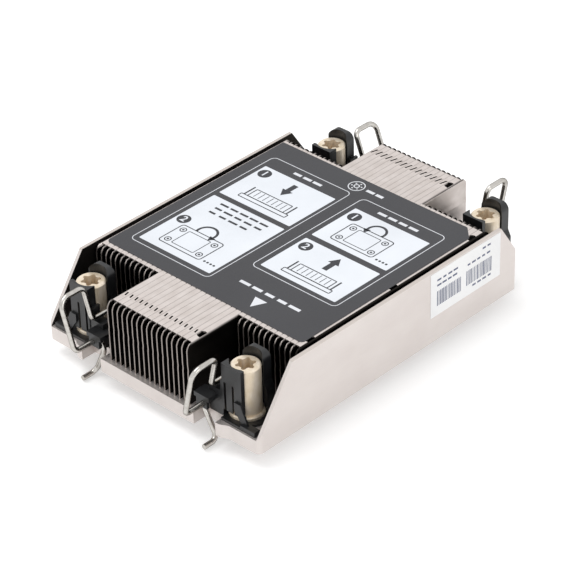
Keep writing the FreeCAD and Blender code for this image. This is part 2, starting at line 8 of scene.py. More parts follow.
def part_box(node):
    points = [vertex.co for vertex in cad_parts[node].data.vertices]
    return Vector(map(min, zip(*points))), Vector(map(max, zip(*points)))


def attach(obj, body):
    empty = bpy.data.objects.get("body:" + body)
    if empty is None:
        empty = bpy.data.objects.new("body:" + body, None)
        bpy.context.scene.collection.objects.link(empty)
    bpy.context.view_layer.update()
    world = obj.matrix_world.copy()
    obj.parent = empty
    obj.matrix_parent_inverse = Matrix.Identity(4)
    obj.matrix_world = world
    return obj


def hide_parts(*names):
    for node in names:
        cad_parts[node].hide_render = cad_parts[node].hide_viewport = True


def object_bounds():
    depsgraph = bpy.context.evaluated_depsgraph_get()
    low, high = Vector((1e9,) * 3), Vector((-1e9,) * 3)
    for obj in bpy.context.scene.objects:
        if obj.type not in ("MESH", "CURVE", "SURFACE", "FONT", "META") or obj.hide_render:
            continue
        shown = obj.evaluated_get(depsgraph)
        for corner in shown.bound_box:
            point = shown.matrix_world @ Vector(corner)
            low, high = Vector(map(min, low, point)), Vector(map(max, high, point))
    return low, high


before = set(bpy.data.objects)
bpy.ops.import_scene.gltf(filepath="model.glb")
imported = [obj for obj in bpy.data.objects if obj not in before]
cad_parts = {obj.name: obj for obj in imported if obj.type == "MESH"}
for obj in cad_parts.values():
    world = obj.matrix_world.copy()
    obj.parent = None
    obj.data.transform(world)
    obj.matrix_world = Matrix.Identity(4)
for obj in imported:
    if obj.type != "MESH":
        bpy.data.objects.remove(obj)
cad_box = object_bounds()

# Looks of the low-profile passive heatsink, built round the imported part.
# Metres, in the part's own frame: +Z up, +Y the way the air flows, +X to the right
# seen from the air inlet, origin on the contact face in the middle of the four nuts.
# Flat prints are drawn in millimetres on their own film and lifted onto it.

MM = 0.001
BODY = "heatsink"
MIX_FIRST = 6                  # colour inputs and output of a Mix node
MIX_SECOND = 7
MIX_COLOUR = 2
RANDOM_LEAST = 2               # number inputs and output of a Random Value node
RANDOM_MOST = 3
RANDOM_NUMBER = 1

# ------------------------------------------------------------------- stand point
VIEW_AZIMUTH = 44.565          # degrees round from the inlet side towards the right
VIEW_ELEVATION = 33.689
VIEW_ROLL = -1.723
VIEW_DISTANCE = 690.26 * MM
VIEW_ACROSS = -0.045 * MM      # the view's axis passes this far beside the aim point
VIEW_UP = 7.408 * MM
AIM = Vector((0.0, -3.1 * MM, 4.5 * MM))
LENS = 161.35                  # mm
SENSOR_WIDTH = 36.0            # mm
CLIP_END = 10.0                # metres

# ------------------------------------------------------------------------- light
FLOOR_ALBEDO = 0.80
FLOOR_LIFT = 0.34              # what the camera sees added to the lit floor
SKY_LEVEL = 0.80               # light from all round on surfaces
KEY_PLACE = (-0.32, -0.20, 0.95)    # big soft lamp high on the left
KEY_POWER = 3.6                # watts
KEY_SIZE = 0.7
FILL_PLACE = (0.95, -0.15, 0.50)    # weaker lamp from the right
FILL_POWER = 1.4
FILL_SIZE = 0.6
FLOOR_HALF = 1.5               # half a side of the floor
FLOOR_DROP = 0.02 * MM         # the floor lies this far under the lowest point

# ------------------------------------------------------------------------ finish
NICKEL = "#DCD5D1"
NICKEL_SHADE = "#D5CDC9"
NICKEL_EDGE = "#CDC4BE"        # sheared edges are rougher and duller
FIN_NICKEL = "#DBD3CF"
FIN_SHADE = "#CDC4BF"
FIN_EDGE = "#9A928D"
PIPE_NICKEL = "#C9BDB5"
CHANNEL_DARK = "#2A2725"       # painted shade inside the narrow air channels, on the walls' inner faces and in the side gap
TAN_PLATE = "#F2E5D3"
TAN_SHADE = "#DECDB2"
WIRE_NICKEL = "#CFCCC7"
WIRE_SHADE = "#B9B5AF"
WIRE_PAINTED_DARK_EDGE = "#6E6B68"          # painted dark reflection: the gloss's edge tint where the wire's surface turns away from the eye
CHARCOAL = "#0F1012"
CHARCOAL_LIGHT = "#191A1C"
FILM_GREY = "#454548"
PANEL_WHITE = "#E8ECF2"
LINE_WHITE = "#E4E6EB"
INK = "#3F4044"
PAPER_WHITE = "#FFFFFF"
PAPER_INK = "#6A7088"
NOISE_LOW = 0.3                # nearly all of a noise texture lies between these
NOISE_HIGH = 0.7
RELIEF_STRENGTH = 0.35
CLOUD_DETAIL = 3.0             # layers of ever finer noise in the clouds
GRAIN_DETAIL = 2.0             # and in the grain
SATIN_METAL = 0.75             # the satin plating also scatters some light evenly
TAN_METAL = 0.45               # and the tan film hides about half of the metal
NYLON_IOR = 1.53
FILM_IOR = 1.5
FILM_CLOUD = 18.0              # mm, faint clouds in films, prints and paper
FILM_RELIEF = 0.006            # mm
ROUGH_SPREAD = 0.05            # their roughness varies by this either way
FADE = 0.96                    # second tone of a print, as a share of the first
FOLD_TURN = 0.45               # a fold is open to the light up to this X of its normal
WALL_TURN = 0.8
FLAT_TURN = 0.9                # and a web or wall faces along X from here
EDGE_TURN = 0.3                # a cut edge starts at this Y of its normal
EDGE_FLAT = 0.7                # and is whole from here

# ------------------------------------------------------------- sheet of the fins
SHEET = 0.4 * MM
BEAD = 0.12 * MM               # a web's pressed bead stands out by this
WELD = 0.0005 * MM             # corners closer than this are one
FOLD_SIDE = 0.5 * MM           # the last fold turns into the side gap over this
WALL_HALF = 0.5 * MM           # half the thickness of the channel's side wall
WALL_EDGE = 0.3 * MM           # the wall's sheared top, down to here
BASE_THICK = 4.1 * MM          # the base's edge is open to the light up to here

# ------------------------------------------------------------------------- print
INK_THICK = 0.02               # mm, each printed layer above the one below
FILM_THICK = 0.1
FILM_LEFT = 0.25               # the film runs past its plain solid by these
FILM_RIGHT = 0.85
FILM_FRONT = 1.0
FILM_BACK = 0.3
FILM_RADIUS = 1.4
FILM_CHAMFER = 3.8
ROUND_STEPS = 10               # segments in a quarter turn

LEFT_OUTLINE = (3.5, 4.15, 32.8, 59.8)         # x0, y0, x1, y1 on the film
RIGHT_OUTLINE = (37.0, 16.1, 66.8, 59.9)
OUTLINE_RADIUS = 1.6
OUTLINE_LINE = 0.23
PANELS = (                     # also x0, y0, x1, y1
    (5.1, 36.3, 31.6, 54.7),
    (5.1, 5.9, 31.7, 34.4),
    (38.8, 37.3, 65.4, 54.8),
    (38.8, 17.7, 65.3, 35.2),
)
PANEL_RADIUS = 0.35
POINTER = ((48.3, 6.1), (50.4, 1.9), (52.5, 6.1))

DISCS = (("1", 7.8, 51.5), ("2", 7.7, 20.2), ("1", 41.6, 51.3), ("2", 41.7, 32.0))
DISC_RADIUS = 2.05
DIGIT_SIZE = 3.5
DIGIT_SWELL = 0.06             # fattens a digit's lines
DIGIT_MIDDLE = 2.5 * INK_THICK      # a digit lies on its disc's ink, with its middle here

MARK_AT = (31.3, 63.5)         # ring mark: a ring, a hub and lobes between them
MARK_RADIUS = 2.35
MARK_LINE = 0.3
HUB_RADIUS = 0.75
HUB_LINE = 0.34
LOBES = 6
LOBE_REACH = 1.5
LOBE_RADIUS = 0.26
LOBE_TURN = 15                 # degrees

SIDE_VIEWS = ((10.0, 38.6, 17.5), (44.4, 19.6, 17.0))   # x, y of a corner and the width
PLAN_VIEWS = ((9.6, 8.6, 15.5), (43.4, 39.4, 15.0))
PUSHES = ((18.8, 52.6, -6.4), (52.9, 27.0, 6.6))        # x, y and the length along Y
TURNS = (                      # centre x, y, radius, and from and to in degrees
    (17.4, 19.2, 3.0, 200, -10),
    (51.0, 49.6, 2.8, -20, 190),
)
DOT_ROWS = ((26.6, 9.2), (60.0, 39.6))                  # x, y of the first dot
PEN = 0.32                     # line width of the small drawings
FIN_PEN = 0.22
SCREW_PEN = 0.5
SIDE_RADIUS = 0.3
PLAN_RADIUS = 0.9
STACK_RADIUS = 0.4
STACK_PEN = 0.24
DRAWN_NUT = 0.9                # radii of a drawn nut and its hole
DRAWN_HOLE = 0.36
DRAWN_NUT_PEN = 0.3
PUSH_SHAFT = 1.7
PUSH_HEAD = 3.0
HEAD_SPREAD = 0.62             # half a head's width, as a share of its length
TURN_PEN = 0.75
TURN_HEAD = 2.0
TURN_HEAD_HALF = 1.15
DOT_STEP = 1.15
DOT_RADIUS = 0.38

ROW_SIZES = ("Count", "Pitch", "Height", "Least Width", "Most Width", "Seed")
WORD_ROWS = (                  # name, x, y and the row's sizes; dark on the panels
    ("label_words_1", 11.2, 32.3, 5, 3.7, 0.75, 1.9, 3.2, 3),
    ("label_words_2", 11.2, 29.9, 5, 3.7, 0.75, 1.7, 3.2, 5),
    ("label_words_3", 11.2, 27.5, 4, 3.9, 0.75, 2.0, 3.3, 8),
)
HEADINGS = (                   # pale on the grey film
    ("label_heading_left", 15.0, 57.2, 3, 3.7, 1.0, 2.6, 3.3, 2),
    ("label_heading_right", 46.4, 57.2, 4, 3.7, 1.0, 2.5, 3.3, 6),
    ("label_mark_words", 36.3, 63.6, 2, 3.3, 1.05, 2.5, 2.9, 4),
    ("label_front_words", 41.9, 8.9, 5, 4.4, 1.05, 2.9, 3.9, 7),
)
STICKER_ROWS = (               # on the paper, from its low inlet corner
    ("sticker_bars_left", 2.7, 5.2, 16, 0.62, 4.6, 0.16, 0.42, 11),
    ("sticker_bars_right", 14.6, 5.6, 17, 0.62, 4.6, 0.16, 0.42, 12),
    ("sticker_words_1", 3.4, 10.9, 4, 2.2, 0.55, 1.1, 1.8, 13),
    ("sticker_words_2", 3.4, 9.3, 4, 2.1, 0.55, 1.1, 1.8, 14),
    ("sticker_words_3", 15.4, 9.7, 5, 2.0, 0.55, 1.0, 1.7, 15),
    ("sticker_words_4", 21.6, 12.0, 2, 2.0, 0.55, 1.1, 1.6, 16),
    ("sticker_words_5", 17.6, 2.3, 4, 2.1, 0.55, 1.1, 1.7, 17),
)


# ----------------------------------------------------------------------- helpers
def linear(code):
    """sRGB hex code to a linear colour with alpha 1."""
    channels = []
    for start in (1, 3, 5):
        value = int(code[start:start + 2], 16) / 255
        channels.append(value / 12.92 if value <= 0.04045 else ((value + 0.055) / 1.055) ** 2.4)
    return (*channels, 1.0)


def add(tree, kind, settings=None, inputs=None):
    """Add a node with its settings; an input is a value or another node's output."""
    node = tree.nodes.new(kind)
    for name, value in (settings or {}).items():
        setattr(node, name, value)
    for key, value in (inputs or {}).items():
        socket = node.inputs[key]
        if isinstance(value, bpy.types.NodeSocket):
            tree.links.new(value, socket)
        else:
            socket.default_value = value
    return node


def per_cell(cell_mm):
    """Mapping scale that makes one noise unit as long as this cell along X, Y and Z."""
    return [1 / (size * MM) for size in cell_mm]


def patterned_finish(name, codes, cloud_mm, grain_mm, rough, relief_mm, constants):
    """Finish with clouds between two colours and a grain in gloss and height.

    Returns the material, its tree, the shader and the node that mixes the colour.
    """
    material = bpy.data.materials.new(name)
    material.use_nodes = True
    tree = material.node_tree
    tree.nodes.clear()
    place = add(tree, "ShaderNodeTexCoord")
    cloud_place = add(tree, "ShaderNodeMapping", None,
                      {"Vector": place.outputs["Object"], "Scale": per_cell(cloud_mm)})
    cloud = add(tree, "ShaderNodeTexNoise", None,
                {"Vector": cloud_place.outputs["Vector"], "Scale": 1.0, "Detail": CLOUD_DETAIL})
    share = add(tree, "ShaderNodeMapRange", None,
                {"Value": cloud.outputs["Fac"], "From Min": NOISE_LOW, "From Max": NOISE_HIGH})
    colour = add(tree, "ShaderNodeMix", {"data_type": "RGBA"},
                 {"Factor": share.outputs["Result"], MIX_FIRST: linear(codes[0]),
                  MIX_SECOND: linear(codes[1])})
    grain_place = add(tree, "ShaderNodeMapping", None,
                      {"Vector": place.outputs["Object"], "Scale": per_cell(grain_mm)})
    grain = add(tree, "ShaderNodeTexNoise", None,
                {"Vector": grain_place.outputs["Vector"], "Scale": 1.0, "Detail": GRAIN_DETAIL})
    gloss = add(tree, "ShaderNodeMapRange", None,
                {"Value": grain.outputs["Fac"], "From Min": NOISE_LOW, "From Max": NOISE_HIGH,
                 "To Min": rough[0], "To Max": rough[1]})
    relief = add(tree, "ShaderNodeBump", None,
                 {"Height": grain.outputs["Fac"], "Distance": relief_mm * MM,
                  "Strength": RELIEF_STRENGTH})
    shader = add(tree, "ShaderNodeBsdfPrincipled", None,
                 {"Base Color": colour.outputs[MIX_COLOUR], "Roughness": gloss.outputs["Result"],
                  "Normal": relief.outputs["Normal"], **constants})
    add(tree, "ShaderNodeOutputMaterial", None, {"Surface": shader.outputs["BSDF"]})
    return material, tree, shader, colour


def darken_in_channels(tree, shader, colour, from_turn, open_share, gap_share):
    """Darken the faces that look along X into a narrow gap.

    The dark tone isn't a finish. It stands in for the light that a deep narrow gap
    swallows, and gives the eye the near black between the fins. It is fixed to the
    object, so it stays the same in any light. Open share is where it is left out,
    and gap share where it goes on whichever way a face turns.
    """
    place = add(tree, "ShaderNodeTexCoord")
    facing = add(tree, "ShaderNodeSeparateXYZ", None, {"Vector": place.outputs["Normal"]})
    turn = add(tree, "ShaderNodeMath", {"operation": "ABSOLUTE"}, {0: facing.outputs["X"]})
    narrow = add(tree, "ShaderNodeMapRange", None,
                 {"Value": turn.outputs[0], "From Min": from_turn, "From Max": FLAT_TURN})
    closed = add(tree, "ShaderNodeMath", {"operation": "SUBTRACT"}, {0: 1.0, 1: open_share})
    inside = add(tree, "ShaderNodeMath", {"operation": "MULTIPLY"},
                 {0: narrow.outputs["Result"], 1: closed.outputs[0]})
    share = add(tree, "ShaderNodeMath", {"operation": "MAXIMUM"}, {0: inside.outputs[0], 1: gap_share})
    darkened = add(tree, "ShaderNodeMix", {"data_type": "RGBA"},
                   {"Factor": share.outputs[0], MIX_FIRST: colour.outputs[MIX_COLOUR],
                    MIX_SECOND: linear(CHANNEL_DARK)})
    tree.links.new(darkened.outputs[MIX_COLOUR], shader.inputs["Base Color"])


# --------------------------------------------------------------------- materials
def nickel_on_rolled_sheet():
    """Satin electroless nickel on rolled aluminium, folded up into the channel.

    The eye gets a warm pale grey with a soft sheen, faint rolling lines along the
    channel and clouds a few millimetres wide where the plating is duller. The walls'
    sheared tops are duller too, and their inner faces get the painted shade of the gaps.
    """
    # rolling lines are a few hundredths of a millimetre wide, drawn coarse to show
    material, tree, shader, colour = patterned_finish(
        "satin_electroless_nickel", (NICKEL, NICKEL_SHADE), cloud_mm=(9.0, 14.0, 9.0),
        grain_mm=(0.25, 9.0, 0.25), rough=(0.34, 0.46), relief_mm=0.006,
        constants={"Metallic": SATIN_METAL})
    # painted shade on faces that look along X, the walls' inner faces above the base; the walls' outer
    # faces and the base's edge are left without it
    low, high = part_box("channel_base")
    place = add(tree, "ShaderNodeTexCoord")
    where = add(tree, "ShaderNodeSeparateXYZ", None, {"Vector": place.outputs["Object"]})
    top = add(tree, "ShaderNodeMath", {"operation": "GREATER_THAN"},
              {0: where.outputs["Z"], 1: high[2] - WALL_EDGE})
    edged = add(tree, "ShaderNodeMix", {"data_type": "RGBA"},
                {"Factor": top.outputs[0], MIX_FIRST: colour.outputs[MIX_COLOUR],
                 MIX_SECOND: linear(NICKEL_EDGE)})
    beside = add(tree, "ShaderNodeMath", {"operation": "ABSOLUTE"}, {0: where.outputs["X"]})
    outer = add(tree, "ShaderNodeMath", {"operation": "GREATER_THAN"},
                {0: beside.outputs[0], 1: high[0] - WALL_HALF})
    below = add(tree, "ShaderNodeMath", {"operation": "LESS_THAN"},
                {0: where.outputs["Z"], 1: low[2] + BASE_THICK})
    open_share = add(tree, "ShaderNodeMath", {"operation": "MAXIMUM"},
                     {0: outer.outputs[0], 1: below.outputs[0]})
    darken_in_channels(tree, shader, edged, WALL_TURN, open_share.outputs[0], 0.0)
    return material


def nickel_ground_flat():
    """Nickel over ground copper: fine parallel grinding lines across the pad."""
    # grit lines of about 0.03 mm, drawn coarse to show
    return patterned_finish(
        "ground_nickel_pad", (NICKEL, NICKEL_SHADE), cloud_mm=(6.0, 0.8, 6.0),
        grain_mm=(6.0, 0.16, 6.0), rough=(0.18, 0.34), relief_mm=0.004,
        constants={"Metallic": 1.0})[0]


def nickel_on_pipe():
    """Plated copper tube pressed flat: a little darker, with soft dents."""
    return patterned_finish(
        "plated_pressed_pipe", (PIPE_NICKEL, NICKEL_SHADE), cloud_mm=(5.0, 9.0, 5.0),
        grain_mm=(4.0, 7.0, 4.0), rough=(0.24, 0.38), relief_mm=0.05,
        constants={"Metallic": 1.0})[0]


def nickel_on_fin():
    """Nickel on thin folded sheet: pale tops, greyer cut edges, near black channels.

    The folds are streaked along their length. The near black in the channels and on
    the fold sides that turn into them is painted shade. The outlet half of the one web
    that faces an open bay keeps its pale tone, and the last fold gets painted shade in
    the side gap.
    """
    # drawn marks of a few hundredths of a millimetre, drawn coarse to show
    material, tree, shader, colour = patterned_finish(
        "nickel_on_folded_sheet", (FIN_NICKEL, FIN_SHADE), cloud_mm=(3.0, 5.0, 3.0),
        grain_mm=(0.5, 12.0, 3.0), rough=(0.36, 0.50), relief_mm=0.01,
        constants={"Metallic": 1.0})
    place = add(tree, "ShaderNodeTexCoord")
    where = add(tree, "ShaderNodeSeparateXYZ", None, {"Vector": place.outputs["Object"]})
    facing = add(tree, "ShaderNodeSeparateXYZ", None, {"Vector": place.outputs["Normal"]})
    along = add(tree, "ShaderNodeMath", {"operation": "ABSOLUTE"}, {0: facing.outputs["Y"]})
    edge = add(tree, "ShaderNodeMapRange", None,
               {"Value": along.outputs[0], "From Min": EDGE_TURN, "From Max": EDGE_FLAT})
    edged = add(tree, "ShaderNodeMix", {"data_type": "RGBA"},
                {"Factor": edge.outputs["Result"], MIX_FIRST: colour.outputs[MIX_COLOUR],
                 MIX_SECOND: linear(FIN_EDGE)})
    # the outlet half of the web that faces the open bay is left without painted shade
    beside = add(tree, "ShaderNodeMath", {"operation": "COMPARE"},
                 {0: where.outputs["X"], 1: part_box("fin_29")[1][0] - BEAD, 2: SHEET / 2})
    outlet = add(tree, "ShaderNodeMath", {"operation": "GREATER_THAN"}, {0: where.outputs["Y"], 1: 0.0})
    outwards = add(tree, "ShaderNodeMath", {"operation": "GREATER_THAN"},
                   {0: facing.outputs["X"], 1: FLAT_TURN})
    bay_web = add(tree, "ShaderNodeMath", {"operation": "MULTIPLY"},
                  {0: beside.outputs[0], 1: outwards.outputs[0]})
    open_share = add(tree, "ShaderNodeMath", {"operation": "MULTIPLY"},
                     {0: bay_web.outputs[0], 1: outlet.outputs[0]})
    # painted shade on all of the last fold and its flange strip in the side gap
    side_gap = add(tree, "ShaderNodeMath", {"operation": "GREATER_THAN"},
                   {0: where.outputs["X"], 1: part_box("fin_41")[1][0] - BEAD - FOLD_SIDE})
    darken_in_channels(tree, shader, edged, FOLD_TURN, open_share.outputs[0], side_gap.outputs[0])
    return material


def tan_plated_steel():
    """Turned steel nuts with a warm tan plating: satin, faint turning rings."""
    # turning marks of about 0.05 mm, drawn coarse to show
    return patterned_finish(
        "tan_plated_steel", (TAN_PLATE, TAN_SHADE), cloud_mm=(1.6, 1.6, 3.0),
        grain_mm=(30.0, 30.0, 0.12), rough=(0.38, 0.50), relief_mm=0.004,
        constants={"Metallic": TAN_METAL})[0]


def bright_spring_wire():
    """Drawn spring wire with bright nickel: sharp reflections, slightly uneven gloss."""
    # die marks of a few hundredths of a millimetre, drawn coarse and the same all round
    # the dark edge tint on the gloss is a painted dark reflection at the wire's edges
    return patterned_finish(
        "bright_nickel_wire", (WIRE_NICKEL, WIRE_SHADE), cloud_mm=(1.2, 1.2, 1.2),
        grain_mm=(0.3, 0.3, 0.3), rough=(0.16, 0.28), relief_mm=0.004,
        constants={"Metallic": 1.0, "Specular Tint": linear(WIRE_PAINTED_DARK_EDGE)})[0]


def moulded_charcoal_nylon():
    """Glass-filled nylon: charcoal, fine spark texture, soft highlights on edges."""
    return patterned_finish(
        "charcoal_glass_filled_nylon", (CHARCOAL, CHARCOAL_LIGHT), cloud_mm=(2.5, 2.5, 4.0),
        grain_mm=(0.12, 0.12, 0.12), rough=(0.30, 0.46), relief_mm=0.02,
        constants={"IOR": NYLON_IOR})[0]


def printed_film(name, code, rough, texture_mm, gloss):
    """Polyester film or a printed layer on it: flat colour, fine matt emboss."""
    second = "#" + "".join(f"{int(int(code[k:k + 2], 16) * FADE):02X}" for k in (1, 3, 5))
    return patterned_finish(
        name, (code, second), cloud_mm=[FILM_CLOUD] * 3, grain_mm=[texture_mm] * 3,
        rough=(rough - ROUGH_SPREAD, rough + ROUGH_SPREAD), relief_mm=FILM_RELIEF,
        constants={"IOR": FILM_IOR, "Specular IOR Level": gloss})[0]


# ------------------------------------------------------------- flat print shapes
def rounded(x0, y0, x1, y1, radius):
    """Outline of a rectangle with round corners, anticlockwise."""
    corners = ((x1 - radius, y1 - radius, 0), (x0 + radius, y1 - radius, 90),
               (x0 + radius, y0 + radius, 180), (x1 - radius, y0 + radius, 270))
    points = []
    for cx, cy, start in corners:
        for step in range(ROUND_STEPS + 1):
            angle = math.radians(start + 90 * step / ROUND_STEPS)
            points.append((cx + radius * math.cos(angle), cy + radius * math.sin(angle)))
    return points


def disc(x, y, radius):
    """Outline of a round spot, anticlockwise."""
    turn = 4 * ROUND_STEPS
    angles = [2 * math.pi * step / turn for step in range(turn)]
    return [(x + radius * math.cos(a), y + radius * math.sin(a)) for a in angles]


def stroke(x0, y0, x1, y1, width):
    """Straight pen line with square ends."""
    run = Vector((x1 - x0, y1 - y0)).normalized() * width / 2
    side = Vector((-run.y, run.x))
    start = Vector((x0, y0)) - run
    end = Vector((x1, y1)) + run
    return [tuple(start - side), tuple(end - side), tuple(end + side), tuple(start + side)]


def arrow(x, y, dx, dy, shaft, head):
    """Solid arrow from a point along a vector."""
    run = Vector((dx, dy))
    length = run.length
    run.normalize()
    side = Vector((-run.y, run.x))
    neck = length - head
    spread = head * HEAD_SPREAD
    corners = ((0, -shaft / 2), (neck, -shaft / 2), (neck, -spread), (length, 0),
               (neck, spread), (neck, shaft / 2), (0, shaft / 2))
    start = Vector((x, y))
    return [tuple(start + run * along + side * across) for along, across in corners]


def sweep(x, y, radius, from_deg, to_deg, width):
    """Curved pen line about a centre, as one outline."""
    steps = 3 * ROUND_STEPS
    outer = []
    inner = []
    for step in range(steps + 1):
        angle = math.radians(from_deg + (to_deg - from_deg) * step / steps)
        way = Vector((math.cos(angle), math.sin(angle)))
        outer.append(tuple(Vector((x, y)) + way * (radius + width / 2)))
        inner.append(tuple(Vector((x, y)) + way * (radius - width / 2)))
    outline = outer + inner[::-1]
    return outline if to_deg > from_deg else outline[::-1]


class Print:
    """Flat shapes of one ink, gathered into one thin closed mesh."""

    def __init__(self, low, high):
        self.low = low
        self.high = high
        self.points = []
        self.faces = []

    def shape(self, outline):
        """Closed slab under one outline, given anticlockwise."""
        count = len(outline)
        base = len(self.points)
        self.points += [(x, y, self.low) for x, y in outline]
        self.points += [(x, y, self.high) for x, y in outline]
        self.faces.append(tuple(range(base + count - 1, base - 1, -1)))
        self.faces.append(tuple(range(base + count, base + 2 * count)))
        for i in range(count):
            j = (i + 1) % count
            self.faces.append((base + i, base + j, base + count + j, base + count + i))

    def ring(self, outer, inner):
        """Closed band between two outlines with as many points each."""
        count = len(outer)
        base = len(self.points)
        for outline in (outer, inner):
            self.points += [(x, y, self.low) for x, y in outline]
            self.points += [(x, y, self.high) for x, y in outline]
        for i in range(count):
            j = (i + 1) % count
            low_out, low_out_next = base + i, base + j
            top_out, top_out_next = base + count + i, base + count + j
            low_in, low_in_next = base + 2 * count + i, base + 2 * count + j
            top_in, top_in_next = base + 3 * count + i, base + 3 * count + j
            self.faces.append((low_out, low_out_next, top_out_next, top_out))
            self.faces.append((top_out, top_out_next, top_in_next, top_in))
            self.faces.append((top_in, top_in_next, low_in_next, low_in))
            self.faces.append((low_in, low_in_next, low_out_next, low_out))

    def frame(self, x0, y0, x1, y1, radius, line):
        """Thin rounded outline."""
        half = line / 2
        self.ring(rounded(x0 - half, y0 - half, x1 + half, y1 + half, radius + half),
                  rounded(x0 + half, y0 + half, x1 - half, y1 - half, radius - half))

    def circle(self, x, y, radius, line):
        """Thin round outline."""
        self.ring(disc(x, y, radius + line / 2), disc(x, y, radius - line / 2))

    def build(self, name, material, place):
        """One piece from all the shapes, put in its place."""
        mesh = bpy.data.meshes.new(name)
        mesh.from_pydata(self.points, [], self.faces)
        mesh.transform(place)
        return dress_piece(name, mesh, material)


def dress_piece(name, mesh, material):
    """Put a finished mesh in the scene as a piece of the heatsink's body."""
    mesh.materials.clear()
    mesh.materials.append(material)
    mesh.update()
    piece = bpy.data.objects.new(name, mesh)
    bpy.context.scene.collection.objects.link(piece)
    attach(piece, BODY)
    return piece


def plain_mesh(holder, name, place):
    """Mesh of what a holder's font or modifier gives, in its place; the holder goes."""
    depsgraph = bpy.context.evaluated_depsgraph_get()
    mesh = bpy.data.meshes.new_from_object(holder.evaluated_get(depsgraph))
    holder.modifiers.clear()
    bpy.data.objects.remove(holder)
    mesh.name = name
    mesh.transform(place)
    return mesh


def digit(name, text, x, y, place, material):
    """Plain number lying on a disc."""
    curve = bpy.data.curves.new(name, "FONT")
    curve.body = text
    curve.size = DIGIT_SIZE
    curve.align_x = "CENTER"
    curve.align_y = "CENTER"
    curve.extrude = INK_THICK / 2
    curve.offset = DIGIT_SWELL
    holder = bpy.data.objects.new(name, curve)
    bpy.context.scene.collection.objects.link(holder)
    bpy.context.view_layer.update()
    mesh = plain_mesh(holder, name, place @ Matrix.Translation((x, y, DIGIT_MIDDLE)))
    bpy.data.curves.remove(curve)
    dress_piece(name, mesh, material)


# ------------------------------------------------------ rows of bars, by a tree
def bar_tree():
    """Geometry tree: a row of upright bars of random width along X."""
    tree = bpy.data.node_groups.new("bar_row", "GeometryNodeTree")
    tree.interface.new_socket("Geometry", in_out="OUTPUT", socket_type="NodeSocketGeometry")
    for name, kind in (("Count", "NodeSocketInt"), ("Pitch", "NodeSocketFloat"),
                       ("Height", "NodeSocketFloat"), ("Thickness", "NodeSocketFloat"),
                       ("Least Width", "NodeSocketFloat"), ("Most Width", "NodeSocketFloat"),
                       ("Seed", "NodeSocketInt"), ("Material", "NodeSocketMaterial")):
        tree.interface.new_socket(name, in_out="INPUT", socket_type=kind)
    given = add(tree, "NodeGroupInput")
    step = add(tree, "ShaderNodeCombineXYZ", None, {"X": given.outputs["Pitch"]})
    line = add(tree, "GeometryNodeMeshLine", {"mode": "OFFSET"},
               {"Count": given.outputs["Count"], "Offset": step.outputs["Vector"]})
    width = add(tree, "FunctionNodeRandomValue", {"data_type": "FLOAT"},
                {"Seed": given.outputs["Seed"], RANDOM_LEAST: given.outputs["Least Width"],
                 RANDOM_MOST: given.outputs["Most Width"]})
    size = add(tree, "ShaderNodeCombineXYZ", None,
               {"X": width.outputs[RANDOM_NUMBER], "Y": given.outputs["Height"],
                "Z": given.outputs["Thickness"]})
    cube = add(tree, "GeometryNodeMeshCube", None, {"Size": (1.0, 1.0, 1.0)})
    copies = add(tree, "GeometryNodeInstanceOnPoints", None,
                 {"Points": line.outputs["Mesh"], "Instance": cube.outputs["Mesh"],
                  "Scale": size.outputs["Vector"]})
    real = add(tree, "GeometryNodeRealizeInstances", None, {"Geometry": copies.outputs["Instances"]})
    painted = add(tree, "GeometryNodeSetMaterial", None,
                  {"Geometry": real.outputs["Geometry"], "Material": given.outputs["Material"]})
    add(tree, "NodeGroupOutput", None, {"Geometry": painted.outputs["Geometry"]})
    return tree


def bar_row(name, tree, values, place):
    """Run the bar tree once and keep its result as a plain piece."""
    holder = bpy.data.objects.new(name, bpy.data.meshes.new(name + "_seed"))
    bpy.context.scene.collection.objects.link(holder)
    modifier = holder.modifiers.new("bars", "NODES")
    modifier.node_group = tree
    for item in tree.interface.items_tree:
        if item.in_out == "INPUT" and item.name in values:
            modifier[item.identifier] = values[item.name]
    dress_piece(name, plain_mesh(holder, name, place), values["Material"])


def bar_rows(tree, rows, material, place, lift):
    """One piece for each row of a list."""
    for name, x, y, *sizes in rows:
        values = dict(zip(ROW_SIZES, sizes), Thickness=2 * INK_THICK, Material=material)
        bar_row(name, tree, values, place @ Matrix.Translation((x, y, lift)))


# --------------------------------------------------------------- the top label
def label_place():
    """From millimetres on the film, from its left inlet corner, to the frame."""
    low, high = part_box("top_label")
    return Matrix.Translation((low[0], low[1], high[2])) @ Matrix.Scale(MM, 4)


def film_sheet(material):
    """The film: two small round front corners and one cut back corner."""
    low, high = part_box("top_label")
    right = (high[0] - low[0]) / MM + FILM_RIGHT
    back = (high[1] - low[1]) / MM + FILM_BACK
    corners = rounded(-FILM_LEFT, -FILM_FRONT, right, back, FILM_RADIUS)
    front = [point for point in corners if point[1] < back / 2]
    outline = front + [(right, back - FILM_CHAMFER), (right - FILM_CHAMFER, back),
                       (-FILM_LEFT, back)]
    sheet = Print(-FILM_THICK, 0.0)
    sheet.shape(outline)
    piece = sheet.build("label_film_sheet", material, label_place())
    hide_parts("top_label")


def label_fields(white, line):
    """White panels, thin outlines, the ring mark and the solid pointer."""
    place = label_place()
    panels = Print(-INK_THICK, INK_THICK)
    for edges in PANELS:
        panels.shape(rounded(*edges, PANEL_RADIUS))
    panels.build("label_panels", white, place)

    lines = Print(-INK_THICK, INK_THICK)
    for edges in (LEFT_OUTLINE, RIGHT_OUTLINE):
        lines.frame(*edges, OUTLINE_RADIUS, OUTLINE_LINE)
    lines.shape(list(POINTER))
    x, y = MARK_AT
    lines.circle(x, y, MARK_RADIUS, MARK_LINE)
    lines.circle(x, y, HUB_RADIUS, HUB_LINE)
    for k in range(LOBES):
        angle = math.radians(360 * k / LOBES + LOBE_TURN)
        lobe_x = x + LOBE_REACH * math.cos(angle)
        lobe_y = y + LOBE_REACH * math.sin(angle)
        lines.shape(disc(lobe_x, lobe_y, LOBE_RADIUS))
    lines.build("label_light_lines", line, place)


